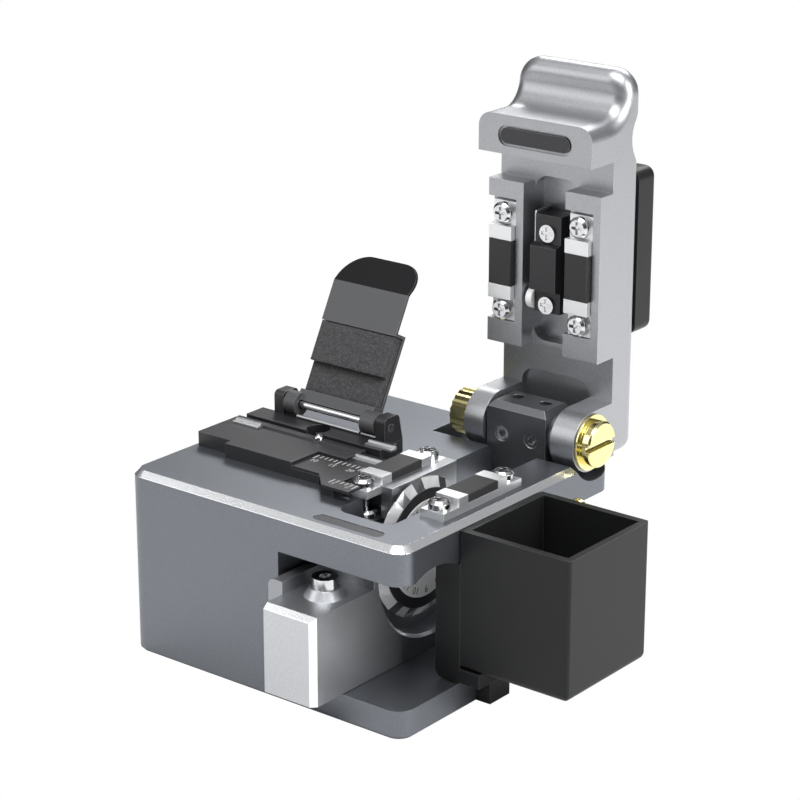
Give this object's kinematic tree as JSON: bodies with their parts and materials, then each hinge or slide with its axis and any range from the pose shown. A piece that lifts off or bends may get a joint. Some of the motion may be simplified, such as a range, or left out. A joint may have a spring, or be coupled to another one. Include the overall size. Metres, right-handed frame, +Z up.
{
  "type": "fibre cleaver",
  "caption": "Bench tool that scores and snaps an optical fibre: a C-shaped base with a sliding round blade, hinged lid with fibre pads, foam clamp and waste bin.",
  "frame": {"origin": "centre of the base body's underside", "axes": "+X towards the open side with the waste bin, +Y towards the hinge, +Z up"},
  "size_m": [0.0859, 0.0832, 0.1046],
  "materials": {
    "base_metal": "bead-blasted grey anodised, bright chamfers",
    "lid_metal": "bead-blasted grey anodised",
    "slide_metal": "bead-blasted light silver",
    "black_metal": "satin black anodised",
    "bright_steel": "polished",
    "clip_steel": "satin nickel",
    "blade_steel": "ground and lapped",
    "magnet_steel": "satin nickel",
    "brass": "polished",
    "pad_rubber": "matt charcoal",
    "clamp_foam": "open-cell speckled grey",
    "bin_plastic": "satin black",
    "dial_white": "white with printed figures",
    "roller_white": "white"
  },
  "bodies": {
    "base": {"base_body": "base_metal", "base_magnet": "magnet_steel", "slide_rail": "bright_steel", "hinge_block": "base_metal", "hinge_set_screws": "bright_steel", "pivot_shaft": "bright_steel", "nut_washer": "brass", "thrust_washer_left": "brass", "thrust_washer_right": "brass", "cap_washer": "brass", "pivot_nut": "brass", "pivot_cap_screw": "brass", "holder_plate": "black_metal", "scale_plate": "black_metal", "holder_rear_plate": "black_metal", "detent_ball": "bright_steel", "leaf_clip_left": "black_metal", "leaf_clip_right": "black_metal", "leaf_clip_rear": "black_metal", "clamp_ear_left": "black_metal", "clamp_ear_right": "black_metal", "clamp_axle": "bright_steel", "clamp_spring_leg": "bright_steel", "pad_bracket": "clip_steel", "post_screw": "bright_steel", "bin_stop": "black_metal", "lower_left_pad_frame": "clip_steel", "lower_left_pad_rubber": "pad_rubber", "lower_left_pad_screws": "bright_steel", "lower_right_pad_frame": "clip_steel", "lower_right_pad_rubber": "pad_rubber", "lower_right_pad_screws": "bright_steel"},
    "slider": {"slider_block": "slide_metal", "slider_carriage": "slide_metal", "height_screw": "bright_steel", "blade_shaft": "bright_steel"},
    "blade": {"blade_wheel": "blade_steel", "blade_ring": "black_metal", "blade_dial": "dial_white"},
    "lid": {"lid_arm": "lid_metal", "lid_magnet": "magnet_steel", "lid_rear_cover": "bin_plastic", "upper_left_pad_frame": "clip_steel", "upper_left_pad_rubber": "pad_rubber", "upper_left_pad_screws": "bright_steel", "upper_right_pad_frame": "clip_steel", "upper_right_pad_rubber": "pad_rubber", "upper_right_pad_screws": "bright_steel"},
    "anvil": {"anvil_block": "black_metal", "anvil_screws": "bright_steel", "anvil_leaf": "bright_steel", "roller_pin": "bright_steel"},
    "roller": {"release_roller": "roller_white"},
    "clamp": {"clamp_sheet": "black_metal", "clamp_foam_inner": "clamp_foam", "clamp_foam_outer": "clamp_foam"},
    "bin": {"waste_bin": "bin_plastic", "bin_housing": "bin_plastic", "bin_pin": "bright_steel", "bin_knob": "brass"}
  },
  "joints": [
    {"name": "lid_hinge", "type": "hinge", "parent": "base", "child": "lid", "pos_m": [0.01835, 0.025, 0.0384], "axis": [1, 0, 0], "range_deg": [0, 90]},
    {"name": "slider_slide", "type": "slide", "parent": "base", "child": "slider", "axis": [0, 1, 0], "range_m": [0, 0.014]},
    {"name": "blade_index", "type": "hinge", "parent": "slider", "child": "blade", "pos_m": [0.0165, -0.0067, 0.0246], "axis": [1, 0, 0], "continuous": true},
    {"name": "clamp_hinge", "type": "hinge", "parent": "base", "child": "clamp", "pos_m": [-0.01175, 0.0033, 0.0407], "axis": [1, 0, 0], "range_deg": [0, 124]},
    {"name": "anvil_slide", "type": "slide", "parent": "lid", "child": "anvil", "axis": [0, -1, 0], "range_m": [0, 0.0008], "stiffness_N_per_m": 400},
    {"name": "roller_spin", "type": "hinge", "parent": "anvil", "child": "roller", "pos_m": [0.0149, 0.0288, 0.0619], "axis": [1, 0, 0], "continuous": true},
    {"name": "bin_slide", "type": "slide", "parent": "base", "child": "bin", "axis": [1, 0, 0], "range_m": [0, 0.028]}
  ]
}
